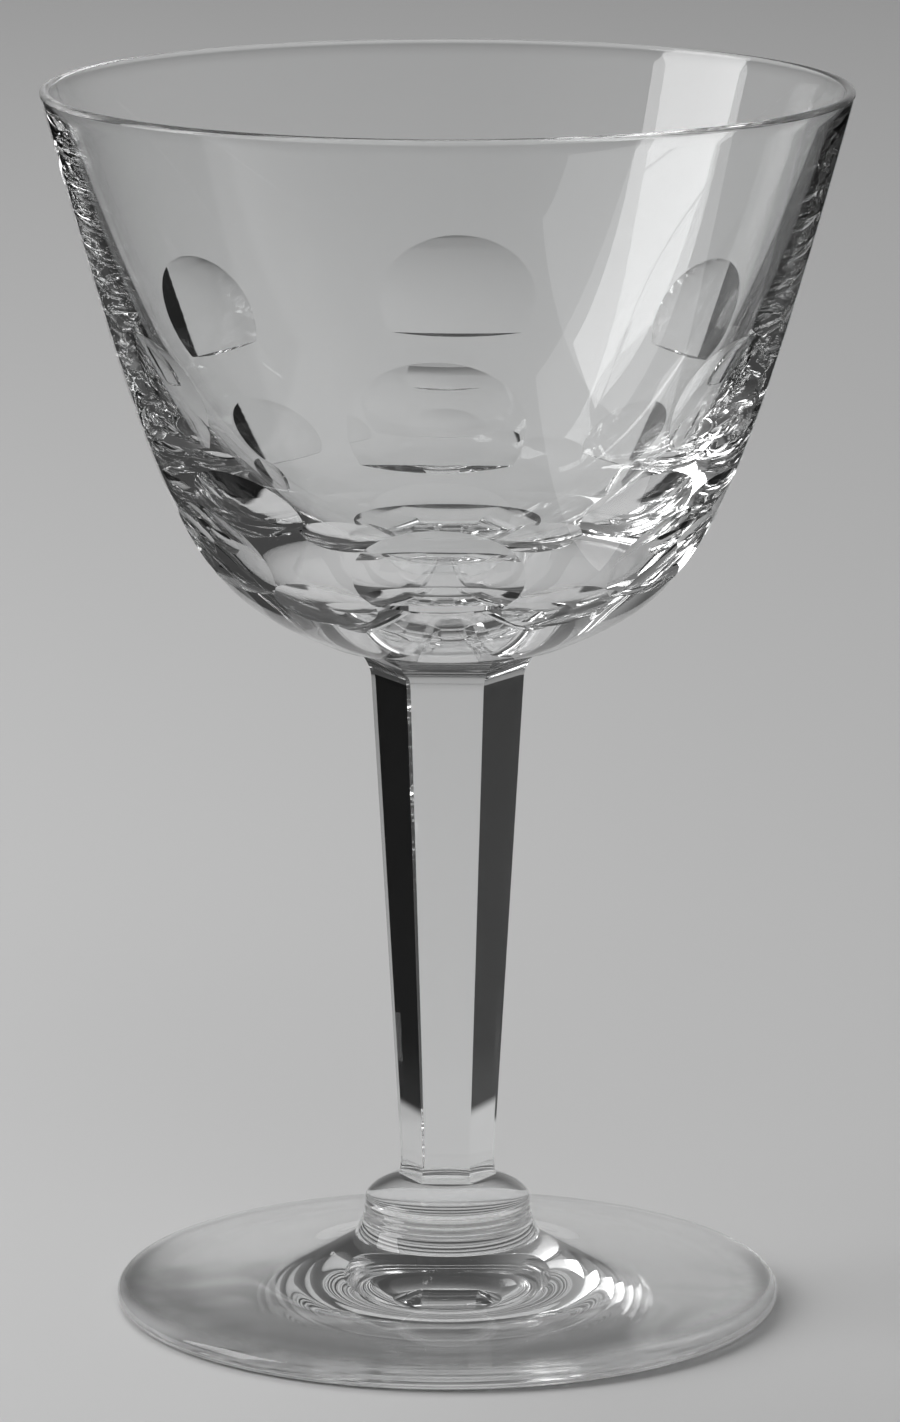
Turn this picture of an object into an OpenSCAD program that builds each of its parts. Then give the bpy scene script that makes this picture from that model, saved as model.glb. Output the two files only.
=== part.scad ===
// Claret wine glass: a thick cut bowl on a tapered six-sided stem, a turned knop and a round foot.
// The four pieces are shaped one by one and fused hot, so they meet face to face on flat seats.
// Units are millimetres. +Z is up, and the origin is the centre of the ring that the foot rests on.

/* [Whole glass] */
// Height from the table to the rim
glass_h = 135; // [125:0.5:145]
// Number of stem flats, which is also the number of cut columns round the bowl
sides = 6; // [6:2:8]

/* [Bowl] */
// Outer diameter at the rim
rim_d = 87.7; // [80:0.1:96]
// Height of the bowl from its seat on the stem to the rim
bowl_h = 60.5; // [56:0.1:66]
// Diameter of the flat seat under the bowl
seat_d = 27.2; // [25:0.1:29]
// Thickness of the wall at the rim, whose lip is half round
rim_wall = 1.15; // [0.8:0.05:2]
// Thickness of the glass over the middle of the seat
floor_t = 6.2; // [5:0.1:9]
// Lean of the outer wall at the rim, from upright
rim_lean = 14.9; // [10:0.1:20]
// How far the outer wall keeps its lean below the rim
wall_pull = 52.2; // [46:0.1:56]
// Rise of the outer curve where it leaves the seat, from level
base_rise = 23.8; // [15:0.1:35]
// How far the outer curve keeps that rise
base_pull = 14.8; // [10:0.1:19]
// Lean of the inner wall at the rim, from upright
inner_lean = 18.1; // [16:0.1:24]
// How far the inner wall keeps its lean below the rim
inner_pull = 27.4; // [18:0.1:32]
// How far the floor inside stays level from its middle
floor_pull = 26.5; // [22:0.1:30]

/* [Upper row of half-moon cuts] */
// Height of the ledge of a cut above the seat
upper_ledge = 24.9; // [23.5:0.1:26.5]
// Height of a cut from its ledge to the top of its arch
upper_arch = 11.6; // [9:0.1:13]
// Depth of a cut at its ledge
upper_depth = 0.95; // [0.7:0.05:1.3]

/* [Lower row of half-moon cuts] */
// Height of the ledge of a cut above the seat
lower_ledge = 8.4; // [7.6:0.1:9.6]
// Height of a cut from its ledge to the top of its arch
lower_arch = 9.2; // [7.5:0.1:10.5]
// Depth of a cut at its ledge
lower_depth = 1.05; // [0.8:0.05:1.3]

/* [Cutting wheels] */
// Radius of the wheel that sweeps out a half-moon
sweep_r = 32; // [24:1:60]
// Fall of the ledge of a half-moon, from level
ledge_fall = 46; // [30:1:60]
// Height of the middle of an oval cut above the seat
oval_z = 7.7; // [6.6:0.1:8.6]
// Radius of the wheel's edge that cuts an oval
oval_r = 13; // [9:0.5:18]
// Depth of an oval cut
oval_depth = 0.65; // [0.4:0.05:0.9]

/* [Stem] */
// Width across the flats at the lower end, above the toe
stem_low_w = 8.9; // [8:0.1:10]
// Width across the flats below the flare
stem_top_w = 14.4; // [12:0.1:15]
// Height of the toe that spreads the flats over the knop
toe_h = 2; // [1:0.1:3]
// Width across the flats at the foot of the toe
toe_w = 9.3; // [9:0.1:10.6]
// Number of steps in which the toe spreads
toe_steps = 3; // [1:1:5]

/* [Knop] */
// Height of the knop
knop_h = 6.7; // [6:0.1:8]
// Diameter of its sharp lower edge
knop_d = 20.5; // [19.6:0.1:23]
// Diameter at the top of its side, under the shoulder
knop_waist_d = 18.2; // [16:0.1:19]
// Height of its side, below the shoulder
knop_side_h = 4.2; // [3.9:0.1:4.6]
// How far the side stays upright into the shoulder
shoulder_rise = 0.6; // [0.3:0.1:1]
// Fall of the shoulder where it leaves the stem, from level
shoulder_fall = 16; // [5:1:25]
// How far the shoulder keeps that fall
shoulder_pull = 2; // [1:0.1:2.4]
// Number of fine rings round its side
ring_count = 3; // [2:1:4]
// Height of the lowest ring above the lower edge
ring_low = 1.5; // [1:0.1:2]
// Height of the highest ring above the lower edge
ring_top = 3.7; // [3:0.1:3.9]
// How deep the hollows between the rings are
ring_depth = 0.12; // [0.05:0.01:0.2]

/* [Foot] */
// Diameter of the foot
foot_d = 73.2; // [66:0.2:80]
// Height of the foot at its neck, under the knop
foot_h = 7.5; // [6.5:0.1:9]
// Diameter of the neck
neck_d = 20; // [19:0.1:22]
// Fall of the neck, from level
neck_fall = 32; // [24:1:36]
// How far the neck keeps its fall
neck_pull = 8; // [6:0.1:11]
// Fall of the plate towards its edge, from level
plate_fall = 5; // [2:0.5:7]
// How far in from its edge the plate keeps its fall
plate_pull = 12; // [8:0.5:16]
// Thickness of the rounded edge
edge_t = 2.4; // [1.8:0.1:3]
// Width of the flat ring that the foot rests on
rest_w = 3.6; // [2:0.1:6]
// Height of the hollow underneath
hollow_h = 1.3; // [0.5:0.1:2]

/* [Hidden] */
$fn = 96;
// Straight steps that stand for one curve
curve_steps = 20;
// Straight steps round the lip and round the foot's edge
edge_steps = 8;
// Straight steps up the side of the knop
ring_steps = 42;
// How far a cutter reaches past the glass
reach = rim_d;
knop_z = foot_h;
stem_z = knop_z + knop_h;
seat_z = glass_h - bowl_h;
stem_len = seat_z - stem_z;
turn = 360 / sides;
glass_tint = [0.86, 0.88, 0.89, 0.6];

// A smooth curve between two ends, drawn towards a handle at each end
function curve_point(c, t) = pow(1 - t, 3) * c[0] + 3 * pow(1 - t, 2) * t * c[1]
    + 3 * (1 - t) * t * t * c[2] + pow(t, 3) * c[3];
function curve(c) = [for (i = [0 : curve_steps]) curve_point(c, i / curve_steps)];
// Place along a rising curve where it reaches height z, found by halving
function place_at(c, z, low = 0, high = 1, halvings = 24) =
    halvings == 0 ? (low + high) / 2 :
    curve_point(c, (low + high) / 2)[1] < z ?
        place_at(c, z, (low + high) / 2, high, halvings - 1) :
        place_at(c, z, low, (low + high) / 2, halvings - 1);
function backwards(points) = [for (i = [len(points) - 1 : -1 : 0]) points[i]];
function without_ends(points) = [for (i = [1 : len(points) - 2]) points[i]];
// Points of an arc about a centre, from one angle to another
function arc(centre, r, from, to) = [for (i = [0 : edge_steps])
    let (angle = from + (to - from) * i / edge_steps) centre + r * [cos(angle), sin(angle)]];
// Centre of a wheel outside the glass that grinds from one point up to another
function wheel_centre(low, high, r) =
    let (chord = high - low, outwards = [chord[1], -chord[0]] / norm(chord))
    (low + high) / 2 + outwards * sqrt(pow(r, 2) - pow(norm(chord) / 2, 2));

// Bowl, as a pair of curves in [radius, height] from the seat and the floor up to the lip
lip_r = rim_wall / 2;
lip_centre = [rim_d / 2 - lip_r, glass_h - lip_r];
outer_rim = lip_centre + [lip_r, 0];
inner_rim = lip_centre - [lip_r, 0];
outer_curve = [
    [seat_d / 2, seat_z],
    [seat_d / 2 + base_pull * cos(base_rise), seat_z + base_pull * sin(base_rise)],
    outer_rim - wall_pull * [sin(rim_lean), cos(rim_lean)],
    outer_rim
];
inner_curve = [
    [0, seat_z + floor_t],
    [floor_pull, seat_z + floor_t],
    inner_rim - inner_pull * [sin(inner_lean), cos(inner_lean)],
    inner_rim
];
function outer_r(z) = curve_point(outer_curve, place_at(outer_curve, z))[0];

// Side view of the wheel that cuts a half-moon: a sweep from the top of the arch to the ledge
module moon_side(ledge, arch, depth) {
    ledge_z = seat_z + ledge;
    notch = [outer_r(ledge_z) - depth, ledge_z];
    top = [outer_r(ledge_z + arch), ledge_z + arch];
    intersection() {
        translate(wheel_centre(notch, top, sweep_r)) circle(r = sweep_r, $fn = 4 * $fn);
        translate(notch) rotate(-ledge_fall) translate([-reach, 0]) square([2 * reach, reach]);
    }
}

// Side view of the wheel that cuts an oval, sunk square to the wall
module oval_side() {
    place = place_at(outer_curve, seat_z + oval_z);
    nearby = 0.01;
    along = curve_point(outer_curve, place + nearby) - curve_point(outer_curve, place - nearby);
    outwards = [along[1], -along[0]] / norm(along);
    translate(curve_point(outer_curve, place) + outwards * (oval_r - oval_depth)) circle(r = oval_r);
}

// Repeats a cutter's side view in every column, starting at an angle from the front
module columns(start) {
    for (i = [0 : sides - 1])
        rotate([90, 0, start - 90 + i * turn])
            linear_extrude(height = seat_d, center = true) children();
}

module bowl() {
    lip = without_ends(arc(lip_centre, lip_r, 0, 180));
    color(glass_tint) difference() {
        rotate_extrude()
            polygon(concat([[0, seat_z]], curve(outer_curve), lip, backwards(curve(inner_curve))));
        columns(0) moon_side(upper_ledge, upper_arch, upper_depth);
        columns(0) moon_side(lower_ledge, lower_arch, lower_depth);
        columns(turn / 2) oval_side();
    }
}

// Half of the stem's outline on one flat: a stepped toe, a long taper and a quarter-round flare, which is
// as wide as it takes for the corners of the flats to reach the edge of the bowl's seat
module stem_side() {
    flat_x = stem_top_w / 2;
    flare_r = seat_d / 2 * cos(turn / 2) - flat_x;
    flare_z = stem_len - flare_r;
    toe = [for (i = [0 : toe_steps]) let (t = i / toe_steps)
        [stem_low_w / 2 + (toe_w - stem_low_w) / 2 * pow(1 - t, 2), toe_h * t]];
    difference() {
        union() {
            polygon(concat([[0, 0]], toe, [[flat_x, flare_z], [flat_x, stem_len], [0, stem_len]]));
            translate([0, flare_z]) square([flat_x + flare_r, flare_r]);
        }
        translate([flat_x + flare_r, flare_z]) circle(r = flare_r);
    }
}

module stem() {
    color(glass_tint) translate([0, 0, stem_z]) intersection_for(i = [0 : sides / 2 - 1])
        rotate([90, 0, i * turn - 90]) linear_extrude(height = 2 * reach, center = true) {
            stem_side();
            mirror([1, 0]) stem_side();
        }
}

module knop() {
    top_r = toe_w / 2 / cos(turn / 2);
    waist = [knop_waist_d / 2, knop_side_h];
    spread = (knop_d - knop_waist_d) / 2;
    side_r = (pow(knop_side_h, 2) + pow(spread, 2)) / (2 * spread);
    // The side spreads on a hollow curve, with fine rings along its middle
    side = [for (i = [0 : ring_steps])
        let (h = knop_side_h * i / ring_steps, t = (h - ring_low) / (ring_top - ring_low))
        let (ripple = t < 0 || t > 1 ? 0 : ring_depth * (1 - cos(360 * ring_count * t)) / 2)
        [waist[0] + side_r - sqrt(pow(side_r, 2) - pow(knop_side_h - h, 2)) - ripple, h]];
    shoulder = curve([
        waist,
        waist + [0, shoulder_rise],
        [top_r, knop_h] + shoulder_pull * [cos(shoulder_fall), -sin(shoulder_fall)],
        [top_r, knop_h]
    ]);
    color(glass_tint) translate([0, 0, knop_z]) rotate_extrude()
        polygon(concat([[0, 0]], side, [for (i = [1 : curve_steps]) shoulder[i]], [[0, knop_h]]));
}

module foot() {
    edge_r = edge_t / 2;
    edge_centre = [foot_d / 2 - edge_r, edge_r];
    edge = arc(edge_centre, edge_r, 90 - plate_fall, -90);
    top_curve = [
        [neck_d / 2, foot_h],
        [neck_d / 2, foot_h] + neck_pull * [cos(neck_fall), -sin(neck_fall)],
        edge[0] + plate_pull * [-cos(plate_fall), sin(plate_fall)],
        edge[0]
    ];
    ring_x = edge_centre[0] - rest_w;
    hollow_r = (pow(ring_x, 2) + pow(hollow_h, 2)) / (2 * hollow_h);
    hollow_span = asin(ring_x / hollow_r);
    color(glass_tint) rotate_extrude() polygon(concat(
        [[0, foot_h]], curve(top_curve), [for (i = [1 : edge_steps]) edge[i]],
        arc([0, hollow_h - hollow_r], hollow_r, 90 - hollow_span, 90)));
}

bowl();
stem();
knop();
foot();
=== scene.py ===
import math

import bpy
from bpy.props import FloatProperty, FloatVectorProperty, IntProperty, PointerProperty
from mathutils import Matrix, Vector


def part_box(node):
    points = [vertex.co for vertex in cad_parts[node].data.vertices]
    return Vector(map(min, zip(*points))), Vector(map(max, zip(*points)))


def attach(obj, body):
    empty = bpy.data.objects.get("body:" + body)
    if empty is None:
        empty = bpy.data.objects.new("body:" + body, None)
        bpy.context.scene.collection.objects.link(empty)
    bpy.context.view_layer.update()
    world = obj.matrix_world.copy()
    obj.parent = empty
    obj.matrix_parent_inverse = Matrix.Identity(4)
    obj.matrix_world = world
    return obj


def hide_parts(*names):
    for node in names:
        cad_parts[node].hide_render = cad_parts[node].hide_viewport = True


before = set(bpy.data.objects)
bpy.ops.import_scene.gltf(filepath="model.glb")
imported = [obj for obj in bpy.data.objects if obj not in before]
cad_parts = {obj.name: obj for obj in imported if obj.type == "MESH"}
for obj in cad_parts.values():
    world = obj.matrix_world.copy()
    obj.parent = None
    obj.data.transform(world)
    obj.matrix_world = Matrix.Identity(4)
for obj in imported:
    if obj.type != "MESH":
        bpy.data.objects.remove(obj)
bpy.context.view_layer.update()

bl_info = {
    "name": "Claret wine glass",
    "version": (1, 0, 0),
    "blender": (4, 5, 0),
    "location": "View3D > Sidebar > Claret glass",
    "description": "Models a cut crystal claret glass on its construction frame and sets a small studio",
    "category": "Add Mesh",
}

# Lengths are in metres, in the frame of the construction model: +Z up, the table at height 0
MM = 0.001
SIDES = 6
TURN = 2 * math.pi / SIDES
SEAT_Z, RIM_Z = (corner.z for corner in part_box("bowl"))
STEM_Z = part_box("stem")[0].z
KNOP_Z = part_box("knop")[0].z
RIM_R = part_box("bowl")[1].x
SEAT_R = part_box("stem")[1].x
KNOP_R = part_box("knop")[1].x
FOOT_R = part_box("foot")[1].x

# Material slots that every piece of glass has, in order
POLISHED, FUSED, GROUND = range(3)

# How finely the round surfaces are stepped
SPIN_STEPS = 288
WALL_STEPS = 64
LIP_STEPS = 14
SWEEP_STEPS = 14
# Edges of glass sharper than this stay crisp
CRISP = math.radians(20)
# Points closer than this are one point
SAME_POINT = 1e-6
# A face is level if its normal has at least this share of it upright
LEVEL = 0.999
# A wheel runs on past the top of a half-moon, to this many times its sweep
OVERRUN = 1.5

# Sockets that a Mix node uses for colours: its factor, its two colours and its result
MIX_FACTOR, MIX_FROM, MIX_TO, MIX_RESULT = 0, 6, 7, 2

# Scales of the patterns in the glass, in features to the metre
RIPPLE_SCALE = 55.0
SCUFF_SCALE = 900.0
MARK_SCALE = (140.0, 140.0, 1100.0)
# Roughness of the deepest wheel marks
MARK_ROUGHNESS = 0.02
# Share of the light that each face of glass lets on to its shadow
SHADOW_PASS = 0.85
# Light crosses many faces inside thick cut glass
GLASS_BOUNCES = 48

# Table top, and the gap that keeps it clear of the foot
TABLE_SIDES = 128
TABLE_RADIUS = 2.4
TABLE_GAP = 0.1 * MM
# Painted light and shade on the table, seen only in the glass: painted dark flags, a painted shade in front,
# and swirls of painted shade and painted caustic light under the foot
PAINTED_FLAG_TONE = 0.01
FRONT_SHADE = 0.7
PAINTED_SHADE_TONE = 0.31
PAINTED_CAUSTIC_TONE = 0.85
SWIRL_SCALE = 70.0
SWIRL_TWIST = 1.5
SWIRL_REACH = 50 * MM
# How much lighter the room is behind the glass and to its left
REAR_GAIN = 5
LEFT_GAIN = 4
# The camera's sensor in millimetres, and how far in pixels the glass stands off the picture's middle
SENSOR_WIDTH = 36
AXIS_OFFSET = 2.5
PICTURE_HEIGHT = 1422


def length(name, description, millimetres):
    """A property for a size of the glass, written in millimetres."""
    return FloatProperty(
        name=name, description=description, default=millimetres * MM, unit="LENGTH", precision=5)


def angle(name, description, degrees):
    """A property for an angle, written in degrees."""
    return FloatProperty(
        name=name, description=description, default=math.radians(degrees), unit="ROTATION")


def watts(name, description, default):
    """A property for the power of a lamp, in watts."""
    return FloatProperty(name=name, description=description, default=default, unit="POWER")


class BowlSizes(bpy.types.PropertyGroup):
    """Curves of the bowl's wall"""

    rim_wall: length("Rim wall", "Thickness of the wall at the rim", 1.15)
    floor: length("Floor", "Thickness of the glass over the middle of the seat", 6.2)
    rim_lean: angle("Rim lean", "Lean of the outer wall at the rim, from upright", 14.9)
    wall_pull: length("Wall pull", "How far the outer wall keeps its lean below the rim", 52.2)
    base_rise: angle("Base rise", "Rise of the outer curve where it leaves the seat", 23.8)
    base_pull: length("Base pull", "How far the outer curve keeps that rise", 14.8)
    inner_lean: angle("Inner lean", "Lean of the inner wall at the rim, from upright", 18.1)
    inner_pull: length("Inner pull", "How far the inner wall keeps its lean", 27.4)
    floor_pull: length("Floor pull", "How far the floor inside stays level", 26.5)


class CutSizes(bpy.types.PropertyGroup):
    """Cuts ground into the bowl"""

    upper_ledge: length("Upper ledge", "Height of the upper ledges above the seat", 24.9)
    upper_arch: length("Upper arch", "Height of an upper half-moon above its ledge", 11.6)
    upper_depth: length("Upper depth", "Depth of an upper half-moon at its ledge", 0.95)
    lower_ledge: length("Lower ledge", "Height of the lower ledges above the seat", 8.4)
    lower_arch: length("Lower arch", "Height of a lower half-moon above its ledge", 9.2)
    lower_depth: length("Lower depth", "Depth of a lower half-moon at its ledge", 1.05)
    sweep_radius: length("Sweep", "Radius of the wheel that sweeps out a half-moon", 32)
    ledge_fall: angle("Ledge fall", "Fall of a ledge, from level", 46)
    oval_height: length("Oval height", "Height of the middle of an oval above the seat", 7.7)
    oval_radius: length("Oval radius", "Radius of the wheel's edge that cuts an oval", 13)
    oval_depth: length("Oval depth", "Depth of an oval", 0.65)


class StemSizes(bpy.types.PropertyGroup):
    """Six-sided stem"""

    low_width: length("Low width", "Width across the flats above the toe", 8.9)
    top_width: length("Top width", "Width across the flats below the flare", 14.4)
    toe_width: length("Toe width", "Width across the flats on the knop", 9.3)
    toe_height: length("Toe height", "Height of the toe", 2)
    toe_steps: IntProperty(name="Toe steps", description="Steps in which the toe spreads", default=3)


class KnopSizes(bpy.types.PropertyGroup):
    """Turned collar between the stem and the foot"""

    waist_width: length("Waist", "Diameter at the top of its side, under the shoulder", 18.2)
    side_height: length("Side", "Height of its side, below the shoulder", 4.2)
    shoulder_rise: length("Shoulder rise", "How far the side stays upright into the shoulder", 0.6)
    shoulder_fall: angle("Shoulder fall", "Fall of the shoulder where it leaves the stem", 16)
    shoulder_pull: length("Shoulder pull", "How far the shoulder keeps that fall", 2)
    ring_count: IntProperty(name="Rings", description="Number of fine rings", default=3)
    ring_low: length("Lowest ring", "Height of the lowest ring above the lower edge", 1.5)
    ring_top: length("Highest ring", "Height of the highest ring above the lower edge", 3.7)
    ring_depth: length("Ring depth", "Depth of the hollows between the rings", 0.12)


class FootSizes(bpy.types.PropertyGroup):
    """Round foot"""

    neck_width: length("Neck", "Diameter of the neck under the knop", 20)
    neck_fall: angle("Neck fall", "Fall of the neck, from level", 32)
    neck_pull: length("Neck pull", "How far the neck keeps its fall", 8)
    plate_fall: angle("Plate fall", "Fall of the plate towards its edge", 5)
    plate_pull: length("Plate pull", "How far in from its edge the plate keeps its fall", 12)
    edge: length("Edge", "Thickness of the rounded edge", 2.4)
    rest_width: length("Rest", "Width of the flat ring that the foot rests on", 3.6)
    hollow: length("Hollow", "Height of the hollow underneath", 1.3)


class CrystalFinish(bpy.types.PropertyGroup):
    """Clear polished crystal"""

    tint: FloatVectorProperty(
        name="Tint", description="Colour of the glass", subtype="COLOR", default=(0.985, 0.99, 0.99))
    bending: FloatProperty(name="IOR", description="How strongly the glass bends light", default=1.52)
    ripple: length("Ripple", "Height of the faint ripple left by fire polishing", 0.002)
    wheel_marks: length("Wheel marks", "Height of the faint marks left on the cuts", 0.0002)
    wear: FloatProperty(
        name="Wear", description="Dullness of the ring that the foot rests on", default=0.12,
        subtype="FACTOR")


class StudioSettings(bpy.types.PropertyGroup):
    """Plain pale table, soft light and the camera"""

    turn: angle("Turn", "How far the studio is turned about the glass", 2)
    paper: FloatVectorProperty(
        name="Paper", description="Colour of the table", subtype="COLOR", default=(0.62, 0.62, 0.62))
    key_power: watts("Key", "Power of the soft key light at the left", 3.0)
    top_power: watts("Top", "Power of the light over the far part of the table", 8.5)
    side_power: watts("Side", "Power of the light on the table from the left", 4.8)
    front_power: watts("Front", "Power of the light over the near part of the table", 5.0)
    fill_power: watts("Fill", "Power of the low light at the right", 0.1)
    room: FloatProperty(name="Room", description="Light from the dim room", default=0.06)
    backdrop: FloatProperty(
        name="Backdrop", description="How pale the camera sees the room beyond the table", default=0.33)
    lens: FloatProperty(
        name="Lens", description="Focal length of the camera, in millimetres", default=194.81, unit="CAMERA")
    tilt: angle("Tilt", "How far the camera looks down", 11.784)
    distance: length("Distance", "How far in front of the glass the camera stands", 823.15)
    height: length("Height", "Height of the camera above the table", 238.16)


class ClaretGlass(bpy.types.PropertyGroup):
    """All settings of the glass"""

    bowl: PointerProperty(type=BowlSizes)
    cuts: PointerProperty(type=CutSizes)
    stem: PointerProperty(type=StemSizes)
    knop: PointerProperty(type=KnopSizes)
    foot: PointerProperty(type=FootSizes)
    finish: PointerProperty(type=CrystalFinish)
    studio: PointerProperty(type=StudioSettings)


# Curves in [radius, height]

def ray(angle_from_level, distance=1.0):
    """A step in a direction given by its angle from level."""
    return Vector((math.cos(angle_from_level), math.sin(angle_from_level))) * distance


def curve(start, start_handle, end_handle, end, steps=WALL_STEPS):
    """Points of a smooth curve between two ends, drawn towards a handle at each end."""
    points = []
    for i in range(steps + 1):
        t = i / steps
        points.append(start * (1 - t) ** 3 + start_handle * (3 * (1 - t) ** 2 * t)
                      + end_handle * (3 * (1 - t) * t ** 2) + end * t ** 3)
    return points


def arc(centre, radius, start, end, steps):
    """Points of an arc about a centre, from one angle to another."""
    return [centre + ray(start + (end - start) * i / steps, radius) for i in range(steps + 1)]


def wheel_centre(low, high, radius):
    """Centre of a wheel outside the glass that grinds from a low point up to a high one."""
    chord = high - low
    outwards = Vector((chord.y, -chord.x)).normalized()
    return (low + high) / 2 + outwards * math.sqrt(radius ** 2 - (chord.length / 2) ** 2)


def reach_of(points, height):
    """The point, and the direction, of a rising line of points at a height."""
    for low, high in zip(points, points[1:]):
        if low.y <= height <= high.y:
            share = (height - low.y) / (high.y - low.y)
            return low.lerp(high, share), (high - low).normalized()
    raise ValueError("the curve does not reach that height")


# Modelling, all of it in the edit mode of one new mesh

def draw_line(points, place):
    """Draws a line through [radius, height] points in edit mode; place turns each into a point in space."""
    bpy.ops.object.select_all(action="DESELECT")
    bpy.ops.mesh.primitive_plane_add(size=MM)
    bpy.ops.object.mode_set(mode="EDIT")
    bpy.ops.mesh.select_mode(type="VERT")
    bpy.ops.mesh.merge(type="CENTER")
    spots = [Vector(place(point)) for point in points]
    bpy.ops.transform.translate(value=spots[0])
    for here, there in zip(spots, spots[1:]):
        bpy.ops.mesh.extrude_region_move(TRANSFORM_OT_translate={"value": there - here})
    return bpy.context.object


def tidy_mesh():
    """Merges doubled points and turns every face outwards."""
    bpy.ops.mesh.select_all(action="SELECT")
    bpy.ops.mesh.remove_doubles(threshold=SAME_POINT)
    bpy.ops.mesh.normals_make_consistent(inside=False)


def turned_piece(name, profile):
    """A closed body of revolution from a profile that starts and ends on the axis."""
    piece = draw_line(profile, lambda p: (p.x, 0, p.y))
    bpy.ops.mesh.select_all(action="SELECT")
    bpy.ops.mesh.spin(steps=SPIN_STEPS, angle=2 * math.pi, center=(0, 0, 0), axis=(0, 0, 1))
    tidy_mesh()
    bpy.ops.object.mode_set(mode="OBJECT")
    piece.name = piece.data.name = name
    return piece


def ring_of_cutters(outline, start):
    """Bars with one side view, a copy in every column of the bowl, the first at an angle from the front."""
    cutter = draw_line(outline, lambda p: (-SEAT_R, -p.x, p.y))
    bpy.ops.mesh.select_all(action="SELECT")
    bpy.ops.mesh.edge_face_add()
    bpy.ops.mesh.extrude_region_move(TRANSFORM_OT_translate={"value": (2 * SEAT_R, 0, 0)})
    bpy.ops.mesh.select_all(action="SELECT")
    bpy.ops.mesh.spin(
        steps=SIDES - 1, dupli=True, angle=2 * math.pi - TURN, center=(0, 0, 0), axis=(0, 0, 1))
    bpy.ops.mesh.select_all(action="SELECT")
    # The turn is reversed here, but the columns look the same both ways round
    bpy.ops.transform.rotate(value=start, orient_axis="Z", center_override=(0, 0, 0))
    tidy_mesh()
    bpy.ops.object.mode_set(mode="OBJECT")
    return cutter


def grind(piece, outline, start):
    """Cuts one shape into every column of a piece, and marks the new faces as ground."""
    cutter = ring_of_cutters(outline, start)
    add_glass_slots(cutter)
    select_faces(cutter, lambda face: True)
    assign_slot(cutter, GROUND)
    make_active(piece)
    bpy.ops.object.modifier_add(type="BOOLEAN")
    cut = piece.modifiers[-1]
    cut.operation = "DIFFERENCE"
    cut.solver = "EXACT"
    cut.object = cutter
    bpy.ops.object.modifier_apply(modifier=cut.name)
    piece.select_set(False)
    cutter.select_set(True)
    bpy.ops.object.delete()


def make_active(piece):
    """Leaves one object selected and active, in object mode."""
    bpy.ops.object.select_all(action="DESELECT")
    bpy.context.view_layer.objects.active = piece
    piece.select_set(True)


def select_faces(piece, wanted):
    """Selects, in edit mode, the faces that answer a question."""
    make_active(piece)
    bpy.ops.object.mode_set(mode="EDIT")
    bpy.ops.mesh.select_mode(type="FACE")
    bpy.ops.mesh.select_all(action="DESELECT")
    bpy.ops.object.mode_set(mode="OBJECT")
    for face in piece.data.polygons:
        face.select = wanted(face)
    bpy.ops.object.mode_set(mode="EDIT")


def assign_slot(piece, slot):
    """Gives the selected faces a material slot, and leaves edit mode."""
    piece.active_material_index = slot
    bpy.ops.object.material_slot_assign()
    bpy.ops.object.mode_set(mode="OBJECT")


def level_at(height):
    """A question for select_faces: is a face level and at that height?"""
    return lambda face: abs(face.normal.z) > LEVEL and abs(face.center.z - height) < SAME_POINT


def fuse_six_sided(piece, height, apothem):
    """Cuts the outline of the stem into a level face, and marks what lies inside as fused."""
    is_level = level_at(height)
    # Directions that the six flats face, the first towards the viewer
    flats = [Vector((math.sin(i * TURN), -math.cos(i * TURN), 0)) for i in range(SIDES)]
    for flat in flats:
        select_faces(piece, is_level)
        bpy.ops.mesh.bisect(
            plane_co=flat * apothem + Vector((0, 0, height)), plane_no=flat, threshold=SAME_POINT)
        bpy.ops.object.mode_set(mode="OBJECT")
    select_faces(piece, lambda face: is_level(face) and all(
        face.center.dot(flat) < apothem for flat in flats))
    assign_slot(piece, FUSED)


def fuse_round(piece, height, radius):
    """Marks a level disc as fused."""
    is_level = level_at(height)
    select_faces(piece, lambda face: is_level(face) and face.center.xy.length < radius)
    assign_slot(piece, FUSED)


def finish_piece(piece, node):
    """Shades a piece of glass, keeps the edges of its cuts crisp and puts it in place of a node."""
    make_active(piece)
    bpy.ops.object.shade_smooth_by_angle(angle=CRISP)
    select_faces(piece, lambda face: face.material_index == GROUND)
    bpy.ops.mesh.region_to_loop()
    bpy.ops.mesh.mark_sharp()
    bpy.ops.object.mode_set(mode="OBJECT")
    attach(piece, "root")
    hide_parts(node)


# Materials

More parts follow.
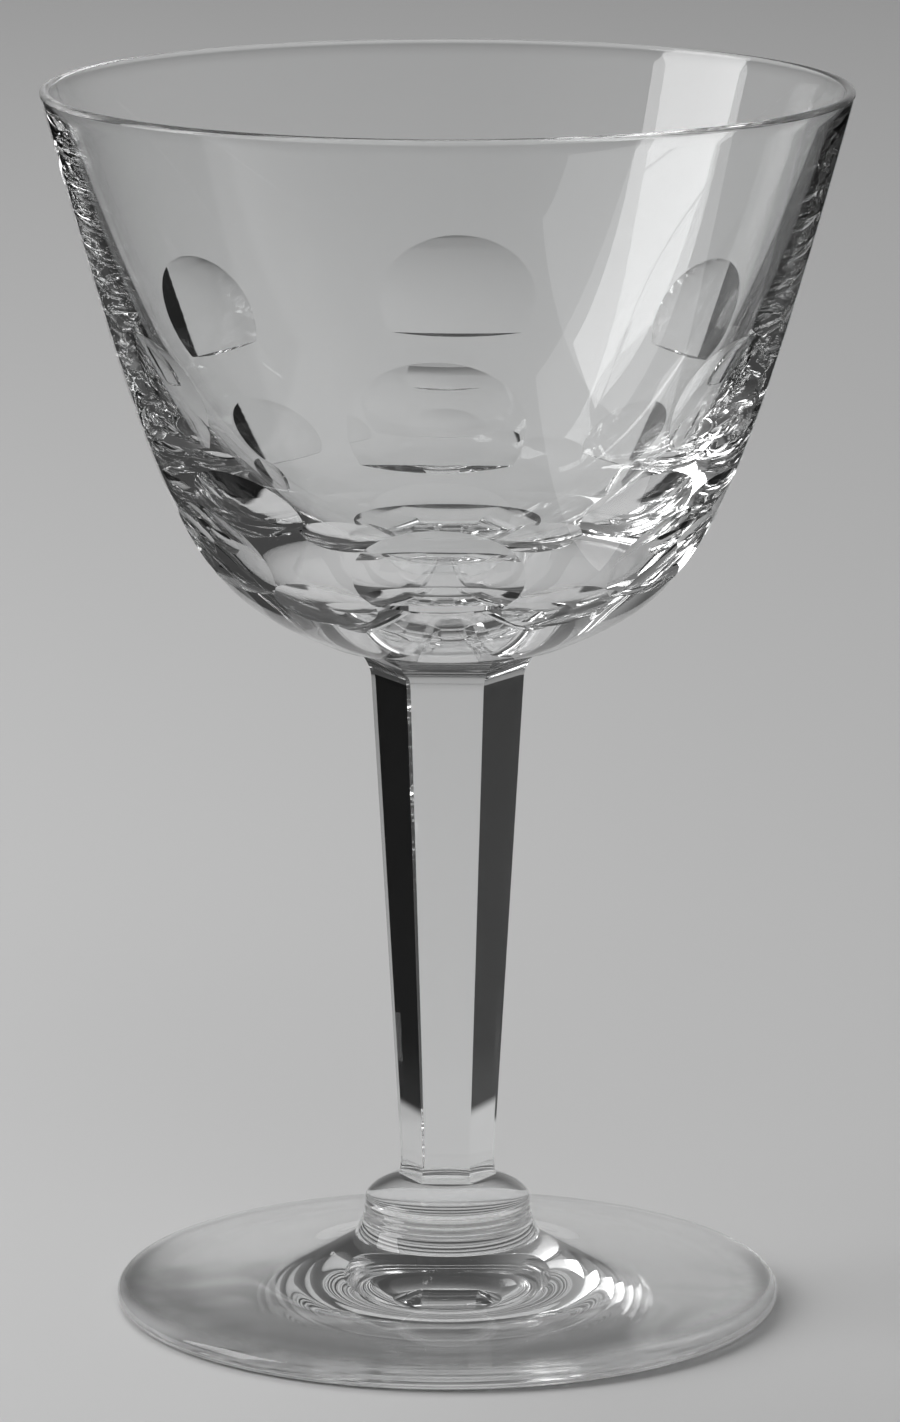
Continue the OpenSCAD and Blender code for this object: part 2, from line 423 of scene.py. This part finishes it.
class Wire:
    """An output of a node tree, on which sums can be written as Python expressions."""

    def __init__(self, tree, socket=None):
        self.tree = tree
        self.socket = socket

    def node(self, kind, settings=None, values=None, out=0):
        """Adds a node: its settings first, then the values or links of its sockets."""
        made = self.tree.nodes.new(kind)
        for name, value in (settings or {}).items():
            setattr(made, name, value)
        for key, value in (values or {}).items():
            if isinstance(value, Wire):
                self.tree.links.new(value.socket, made.inputs[key])
            else:
                made.inputs[key].default_value = value
        return Wire(self.tree, made.outputs[out])

    def maths(self, operation, *terms):
        """Adds a Math node."""
        return self.node("ShaderNodeMath", {"operation": operation}, dict(enumerate(terms)))

    def __add__(self, other):
        return self.maths("ADD", self, other)

    def __sub__(self, other):
        return self.maths("SUBTRACT", self, other)

    def __rsub__(self, other):
        return self.maths("SUBTRACT", other, self)

    def __mul__(self, other):
        return self.maths("MULTIPLY", self, other)

    def __neg__(self):
        return self.maths("MULTIPLY", self, -1)

    __radd__ = __add__
    __rmul__ = __mul__

    def axis(self, name):
        """The part of a place or direction that lies along X, Y or Z."""
        return self.node("ShaderNodeSeparateXYZ", values={"Vector": self}, out=name)

    def ramp(self, low, high):
        """Runs smoothly from 0 to 1 as the value goes from low to high."""
        return self.node("ShaderNodeMapRange", {"interpolation_type": "SMOOTHSTEP"},
                         {"Value": self, "From Min": low, "From Max": high})

    def mix(self, first, second):
        """A colour that goes from the first to the second as the value goes from 0 to 1."""
        return self.node("ShaderNodeMix", {"data_type": "RGBA"},
                         {MIX_FACTOR: self, MIX_FROM: first, MIX_TO: second}, out=MIX_RESULT)


def beyond(across, away, start, end):
    """Runs smoothly from 0 to 1 as the distance from the glass's axis goes from start to end."""
    return (across * across + away * away).ramp(start ** 2, end ** 2)


def grey(tone):
    """A colour for a socket, the same in red, green and blue."""
    return tone, tone, tone, 1


def new_material(name):
    """An empty node material, with a wire to build on and its output node."""
    material = bpy.data.materials.new(name)
    material.use_nodes = True
    material.node_tree.nodes.clear()
    output = material.node_tree.nodes.new("ShaderNodeOutputMaterial")
    return material, Wire(material.node_tree), output


def principled(wire, output, values):
    """Adds the surface shader and joins it to the output."""
    surface = wire.node("ShaderNodeBsdfPrincipled", values=values)
    wire.tree.links.new(surface.socket, output.inputs["Surface"])


def clear_values(finish):
    """Sockets that all clear crystal shares."""
    return {
        "Base Color": (*finish.tint, 1),
        "IOR": finish.bending,
        "Transmission Weight": 1.0,
    }


def light_shadow(wire, stopped=0):
    """An alpha that lets most of the light on past each face, apart from the share that is stopped."""
    return 1 - SHADOW_PASS * wire.node("ShaderNodeLightPath", out="Is Shadow Ray") * (1 - stopped)


def polished_crystal(finish):
    """Fire-polished glass: a faint broad ripple, and a ring of fine wear where the foot rests."""
    material, wire, output = new_material("polished_crystal")
    place = wire.node("ShaderNodeTexCoord", out="Object")
    across, away, height = (place.axis(name) for name in "XYZ")
    ripple = wire.node("ShaderNodeTexNoise", values={
        "Vector": place, "Scale": RIPPLE_SCALE, "Detail": 1.0})
    scuffs = wire.node("ShaderNodeTexNoise", values={
        "Vector": place, "Scale": SCUFF_SCALE, "Detail": 3.0})
    resting = 1 - height.ramp(0.02 * MM, 0.12 * MM)
    # The foot's rounded edge turns light aside, so that a dark line lies along its front on the table
    edge = beyond(across, away, 33 * MM, 35 * MM) * (1 - height.ramp(4 * MM, 5 * MM))
    front_edge = edge * (1 - away.ramp(0, 18 * MM))
    principled(wire, output, {
        **clear_values(finish),
        # The scuffs' noise is a half on average
        "Roughness": resting * scuffs * (2 * finish.wear),
        "Normal": wire.node("ShaderNodeBump", values={
            "Height": ripple, "Distance": finish.ripple, "Strength": 1.0}),
        "Alpha": light_shadow(wire, front_edge),
    })
    return material


def ground_crystal(finish):
    """Cut and acid-polished glass: very fine marks that run round the bowl, as the wheel left them."""
    material, wire, output = new_material("ground_crystal")
    place = wire.node("ShaderNodeTexCoord", out="Object")
    along = wire.node("ShaderNodeMapping", values={"Vector": place, "Scale": MARK_SCALE})
    marks = wire.node("ShaderNodeTexNoise", values={"Vector": along, "Scale": 1.0, "Detail": 0.0})
    principled(wire, output, {
        **clear_values(finish),
        "Roughness": marks * MARK_ROUGHNESS,
        "Normal": wire.node("ShaderNodeBump", values={
            "Height": marks, "Distance": finish.wheel_marks, "Strength": 1.0}),
        "Alpha": light_shadow(wire),
    })
    return material


def fused_seam():
    """The joint of two pieces that were fused hot, which leaves no surface to see."""
    material, wire, output = new_material("fused_seam")
    principled(wire, output, {"Alpha": 0.0})
    return material


def add_glass_slots(piece):
    """Gives a piece the slots for polished, fused and ground glass."""
    finish = bpy.context.scene.claret.finish
    makers = {
        "polished_crystal": lambda: polished_crystal(finish),
        "fused_seam": fused_seam,
        "ground_crystal": lambda: ground_crystal(finish),
    }
    for name, make in makers.items():
        piece.data.materials.append(bpy.data.materials.get(name) or make())


# Pieces

class CLARET_OT_bowl(bpy.types.Operator):
    """Turn the bowl and grind its half-moons and ovals"""

    bl_idname = "claret.bowl"
    bl_label = "Bowl"

    def execute(self, context):
        sizes = context.scene.claret.bowl
        cuts = context.scene.claret.cuts
        lip_r = sizes.rim_wall / 2
        lip_centre = Vector((RIM_R - lip_r, RIM_Z - lip_r))
        outer_rim = lip_centre + Vector((lip_r, 0))
        inner_rim = lip_centre - Vector((lip_r, 0))
        seat = Vector((SEAT_R, SEAT_Z))
        floor = Vector((0, SEAT_Z + sizes.floor))
        outer = curve(seat, seat + ray(sizes.base_rise, sizes.base_pull),
                      outer_rim - ray(math.pi / 2 - sizes.rim_lean, sizes.wall_pull), outer_rim)
        inner = curve(floor, floor + Vector((sizes.floor_pull, 0)),
                      inner_rim - ray(math.pi / 2 - sizes.inner_lean, sizes.inner_pull), inner_rim)
        lip = arc(lip_centre, lip_r, 0, math.pi, LIP_STEPS)
        bowl = turned_piece("bowl_crystal", [Vector((0, SEAT_Z)), *outer, *lip[1:-1], *reversed(inner)])
        add_glass_slots(bowl)
        grind(bowl, self.moon(outer, cuts, cuts.upper_ledge, cuts.upper_arch, cuts.upper_depth), 0)
        grind(bowl, self.moon(outer, cuts, cuts.lower_ledge, cuts.lower_arch, cuts.lower_depth), 0)
        grind(bowl, self.oval(outer, cuts), TURN / 2)
        fuse_six_sided(bowl, SEAT_Z, SEAT_R * math.cos(TURN / 2))
        finish_piece(bowl, "bowl")
        return {"FINISHED"}

    @staticmethod
    def moon(outer, cuts, ledge, arch, depth):
        """Side view of the wheel that cuts a half-moon: a sweep up from the ledge and out of the wall."""
        notch = reach_of(outer, SEAT_Z + ledge)[0] - Vector((depth, 0))
        top = reach_of(outer, SEAT_Z + ledge + arch)[0]
        centre = wheel_centre(notch, top, cuts.sweep_radius)
        start = (notch - centre).angle_signed(Vector((1, 0)))
        end = (top - centre).angle_signed(Vector((1, 0)))
        swing = OVERRUN * math.remainder(end - start, 2 * math.pi)
        sweep = arc(centre, cuts.sweep_radius, start, start + swing, SWEEP_STEPS)
        ledge_end = notch + ray(-cuts.ledge_fall, RIM_R)
        return [*sweep, Vector((ledge_end.x, sweep[-1].y)), ledge_end]

    @staticmethod
    def oval(outer, cuts):
        """Side view of the wheel's edge that cuts an oval, sunk square to the wall."""
        middle, along = reach_of(outer, SEAT_Z + cuts.oval_height)
        outwards = Vector((along.y, -along.x))
        centre = middle + outwards * (cuts.oval_radius - cuts.oval_depth)
        return arc(centre, cuts.oval_radius, 0, 2 * math.pi, SPIN_STEPS // 2)[:-1]


class CLARET_OT_stem(bpy.types.Operator):
    """Draw the six-sided stem up from its toe to the flare under the bowl"""

    bl_idname = "claret.stem"
    bl_label = "Stem"

    def execute(self, context):
        sizes = context.scene.claret.stem
        outline = self.outline(sizes)
        corner = 1 / math.cos(TURN / 2)
        bpy.ops.object.select_all(action="DESELECT")
        bpy.ops.mesh.primitive_circle_add(
            vertices=SIDES, radius=outline[0].x * corner, fill_type="NGON", location=(0, 0, outline[0].y),
            rotation=(0, 0, TURN / 2))
        stem = context.object
        stem.name = stem.data.name = "stem_crystal"
        bpy.ops.object.transform_apply(location=True, rotation=True, scale=True)
        bpy.ops.object.mode_set(mode="EDIT")
        bpy.ops.mesh.select_all(action="SELECT")
        for low, high in zip(outline, outline[1:]):
            share = high.x / low.x
            bpy.ops.mesh.extrude_region_move(TRANSFORM_OT_translate={"value": (0, 0, high.y - low.y)})
            bpy.ops.transform.resize(value=(share, share, 1), center_override=(0, 0, 0))
        tidy_mesh()
        bpy.ops.object.mode_set(mode="OBJECT")
        add_glass_slots(stem)
        fuse_round(stem, STEM_Z, SEAT_R)
        fuse_round(stem, SEAT_Z, SEAT_R)
        finish_piece(stem, "stem")
        return {"FINISHED"}

    @staticmethod
    def outline(sizes):
        """Half widths and heights up one flat: a stepped toe, a long taper and a quarter-round flare."""
        toe = [Vector((sizes.low_width / 2 + (sizes.toe_width - sizes.low_width) / 2 * (1 - t) ** 2,
                       STEM_Z + sizes.toe_height * t))
               for t in (i / sizes.toe_steps for i in range(sizes.toe_steps + 1))]
        flare_r = SEAT_R * math.cos(TURN / 2) - sizes.top_width / 2
        centre = Vector((sizes.top_width / 2 + flare_r, SEAT_Z - flare_r))
        return [*toe, *arc(centre, flare_r, math.pi, math.pi / 2, WALL_STEPS // 2)]


class CLARET_OT_knop(bpy.types.Operator):
    """Turn the knop with its rings and shoulder"""

    bl_idname = "claret.knop"
    bl_label = "Knop"

    def execute(self, context):
        sizes = context.scene.claret.knop
        neck_r = context.scene.claret.foot.neck_width / 2
        toe_r = context.scene.claret.stem.toe_width / 2
        top = Vector((toe_r / math.cos(TURN / 2), STEM_Z))
        waist = Vector((sizes.waist_width / 2, KNOP_Z + sizes.side_height))
        shoulder = curve(waist, waist + Vector((0, sizes.shoulder_rise)),
                         top + ray(-sizes.shoulder_fall, sizes.shoulder_pull), top, WALL_STEPS // 2)
        bottom = [Vector((0, KNOP_Z)), Vector((neck_r, KNOP_Z))]
        knop = turned_piece(
            "knop_crystal", [*bottom, *self.side(sizes), *shoulder[1:], Vector((0, STEM_Z))])
        add_glass_slots(knop)
        fuse_round(knop, KNOP_Z, neck_r)
        fuse_six_sided(knop, STEM_Z, toe_r)
        finish_piece(knop, "knop")
        return {"FINISHED"}

    @staticmethod
    def side(sizes):
        """The hollow side, with fine rings along its middle."""
        waist_r = sizes.waist_width / 2
        spread = KNOP_R - waist_r
        radius = (sizes.side_height ** 2 + spread ** 2) / (2 * spread)
        points = []
        for i in range(WALL_STEPS + 1):
            height = sizes.side_height * i / WALL_STEPS
            share = (height - sizes.ring_low) / (sizes.ring_top - sizes.ring_low)
            inside = 0 < share < 1
            ripple = sizes.ring_depth * (1 - math.cos(2 * math.pi * sizes.ring_count * share)) / 2
            hollow = radius - math.sqrt(radius ** 2 - (sizes.side_height - height) ** 2)
            points.append(Vector((waist_r + hollow - ripple * inside, KNOP_Z + height)))
        return points


class CLARET_OT_foot(bpy.types.Operator):
    """Turn the foot with its neck, plate, rounded edge and hollow underside"""

    bl_idname = "claret.foot"
    bl_label = "Foot"

    def execute(self, context):
        sizes = context.scene.claret.foot
        neck = Vector((sizes.neck_width / 2, KNOP_Z))
        edge_r = sizes.edge / 2
        edge_centre = Vector((FOOT_R - edge_r, edge_r))
        edge = arc(edge_centre, edge_r, math.pi / 2 - sizes.plate_fall, -math.pi / 2, 2 * LIP_STEPS)
        top = curve(neck, neck + ray(-sizes.neck_fall, sizes.neck_pull),
                    edge[0] - ray(-sizes.plate_fall, sizes.plate_pull), edge[0])
        ring_x = edge_centre.x - sizes.rest_width
        hollow_r = (ring_x ** 2 + sizes.hollow ** 2) / (2 * sizes.hollow)
        span = math.asin(ring_x / hollow_r)
        hollow_centre = Vector((0, sizes.hollow - hollow_r))
        under = arc(hollow_centre, hollow_r, math.pi / 2 - span, math.pi / 2, LIP_STEPS)
        foot = turned_piece("foot_crystal", [Vector((0, KNOP_Z)), *top, *edge[1:], *under])
        add_glass_slots(foot)
        fuse_round(foot, KNOP_Z, neck.x)
        finish_piece(foot, "foot")
        return {"FINISHED"}


# Studio

class CLARET_OT_studio(bpy.types.Operator):
    """Set the glass on a plain pale table, light it softly and aim the camera"""

    bl_idname = "claret.studio"
    bl_label = "Studio"

    def execute(self, context):
        settings = context.scene.claret.studio
        turn = Matrix.Rotation(settings.turn, 4, "Z")
        self.table(settings, turn)
        self.lamp("key_light", turn, settings.key_power,
                  place=(-0.745, -0.046, 0.39), target=(0, 0, 0.105), size=(0.44, 0.6))
        top = self.lamp("top_light", turn, settings.top_power,
                        place=(-0.4, 1.0, 1.4), target=(0, 0.8, 0), size=(0.8, 0.8))
        side = self.lamp("side_light", turn, settings.side_power,
                         place=(-0.8, 0, 0.5), target=(0, -0.05, 0), size=(0.5, 1.0))
        front = self.lamp("front_light", turn, settings.front_power,
                          place=(0.3, -1.3, 1.4), target=(0.1, -1.1, 0), size=(0.8, 0.8))
        # These three are for the table, and don't show in the glass
        for lamp in (top, side, front):
            lamp.visible_glossy = False
            lamp.visible_transmission = False
        self.lamp("low_fill", turn, settings.fill_power,
                  place=(0.18, -0.075, 0.001), target=(0.18, -0.075, 1), size=(0.2, 0.13))
        self.room(context, settings)
        self.camera(context, settings, turn)
        context.scene.view_settings.view_transform = "Standard"
        context.scene.cycles.max_bounces = GLASS_BOUNCES
        context.scene.cycles.glossy_bounces = GLASS_BOUNCES
        context.scene.cycles.transmission_bounces = GLASS_BOUNCES
        return {"FINISHED"}

    @classmethod
    def table(cls, settings, turn):
        """A wide round table top, a hair below the foot so that the two never share a face."""
        bpy.ops.object.select_all(action="DESELECT")
        bpy.ops.mesh.primitive_circle_add(
            vertices=TABLE_SIDES, radius=TABLE_RADIUS, fill_type="NGON", location=(0, 0, -TABLE_GAP))
        table = bpy.context.object
        table.name = "table_top"
        material, wire, output = new_material("pale_paper_and_painted_light")
        place = wire.node("ShaderNodeTexCoord", out="Object")
        across = place.axis("X")
        away = place.axis("Y")
        # Painted dark flags, painted shade and painted caustic light show only in the glass, and the camera
        # itself sees plain paper
        in_glass = 1 - wire.node("ShaderNodeLightPath", out="Is Camera Ray")
        left = cls.flag(-across, away, spread=0.266, slope=-0.1, forward=60 * MM)
        right = cls.flag(across, away, spread=0.21, slope=0.6, forward=0)
        # Painted shade: the paper darker towards the front, seen only in the glass
        front = FRONT_SHADE * (-away).ramp(100 * MM, 160 * MM)
        shade = wire.maths("MAXIMUM", front, left + right) * in_glass
        colour = shade.mix((*settings.paper, 1), grey(PAINTED_FLAG_TONE))
        # Under the foot the paper carries painted light and shade in swirls: painted shade in front and
        # painted caustic light behind, for the bent light there
        swirl = wire.node("ShaderNodeTexNoise", values={
            "Vector": place, "Scale": SWIRL_SCALE, "Detail": 1.0, "Distortion": SWIRL_TWIST})
        # Share of painted caustic light against painted shade, more behind and to the right
        pale = (away + 0.2 * across + SWIRL_REACH * (swirl - 0.5)).ramp(-25 * MM, 12 * MM)
        under = (1 - beyond(across, away, 34 * MM, 37 * MM)) * in_glass
        colour = under.mix(colour, pale.mix(grey(PAINTED_SHADE_TONE), grey(PAINTED_CAUSTIC_TONE)))
        principled(wire, output, {"Base Color": colour, "Roughness": 1.0, "Specular IOR Level": 0.0})
        table.data.materials.append(material)
        table.matrix_world = turn @ table.matrix_world

    @staticmethod
    def flag(across, away, spread, slope, forward):
        """Where a painted dark flag lies on the table, on one side of the glass, as painted shade that only
        the glass shows.

        Its inner edge fans out by spread, and its front edge starts forward of the axis and rises by slope.
        """
        inner_edge = (across - away * spread).ramp(29 * MM, 34 * MM)
        clear_of_foot = (across + away * 0.3).ramp(76 * MM, 82 * MM)
        front_edge = (away - across * slope).ramp(-forward, 12 * MM - forward)
        return inner_edge * clear_of_foot * front_edge

    @staticmethod
    def lamp(name, turn, power, place, target, size):
        """A rectangular soft light that faces a target."""
        bpy.ops.object.light_add(type="AREA")
        lamp = bpy.context.object
        lamp.name = name
        lamp.data.shape = "RECTANGLE"
        lamp.data.size, lamp.data.size_y = size
        lamp.data.energy = power
        lamp.location = turn @ Vector(place)
        facing = turn @ Vector(target) - lamp.location
        lamp.rotation_euler = facing.to_track_quat("-Z", "Y").to_euler()
        lamp.visible_camera = False
        return lamp

    @staticmethod
    def room(context, settings):
        """A dim room, lighter to the left and behind, which the camera itself sees as pale as the table."""
        world = bpy.data.worlds.new("room")
        world.use_nodes = True
        world.node_tree.nodes.clear()
        wire = Wire(world.node_tree)
        way = wire.node("ShaderNodeTexCoord", out="Generated")
        seen = wire.node("ShaderNodeLightPath", out="Is Camera Ray")
        behind = REAR_GAIN * way.axis("Y").ramp(0.88, 1)
        left = LEFT_GAIN * (-way.axis("X")).ramp(0.1, 0.9)
        dim = settings.room * (1 + behind + left)
        strength = dim + seen * (settings.backdrop - dim)
        light = wire.node("ShaderNodeBackground", values={"Color": grey(1), "Strength": strength})
        output = world.node_tree.nodes.new("ShaderNodeOutputWorld")
        world.node_tree.links.new(light.socket, output.inputs["Surface"])
        context.scene.world = world

    @staticmethod
    def camera(context, settings, turn):
        """The photograph's viewpoint: a long lens, a little above the rim."""
        bpy.ops.object.camera_add()
        camera = context.object
        camera.name = "camera"
        camera.data.sensor_width = SENSOR_WIDTH
        camera.data.lens = settings.lens
        camera.data.shift_x = AXIS_OFFSET / PICTURE_HEIGHT
        camera.location = turn @ Vector((0, -settings.distance, settings.height))
        camera.rotation_euler = (math.pi / 2 - settings.tilt, 0, settings.turn)
        context.scene.camera = camera


class CLARET_PT_glass(bpy.types.Panel):
    """Sidebar panel that lists the steps"""

    bl_idname = "CLARET_PT_glass"
    bl_label = "Claret glass"
    bl_space_type = "VIEW_3D"
    bl_region_type = "UI"
    bl_category = "Claret glass"

    def draw(self, context):
        for step in STEPS:
            self.layout.operator(step.bl_idname)


STEPS = (CLARET_OT_bowl, CLARET_OT_stem, CLARET_OT_knop, CLARET_OT_foot, CLARET_OT_studio)
CLASSES = (BowlSizes, CutSizes, StemSizes, KnopSizes, FootSizes, CrystalFinish, StudioSettings,
           ClaretGlass, *STEPS, CLARET_PT_glass)


def register():
    """Adds the settings, the steps and the panel to Blender."""
    for cls in CLASSES:
        bpy.utils.register_class(cls)
    bpy.types.Scene.claret = PointerProperty(type=ClaretGlass)


def unregister():
    """Takes them away again."""
    del bpy.types.Scene.claret
    for cls in reversed(CLASSES):
        bpy.utils.unregister_class(cls)


def main():
    """Makes the pieces and the studio."""
    register()
    bpy.ops.claret.bowl()
    bpy.ops.claret.stem()
    bpy.ops.claret.knop()
    bpy.ops.claret.foot()
    bpy.ops.claret.studio()


if __name__ == "__main__":
    main()
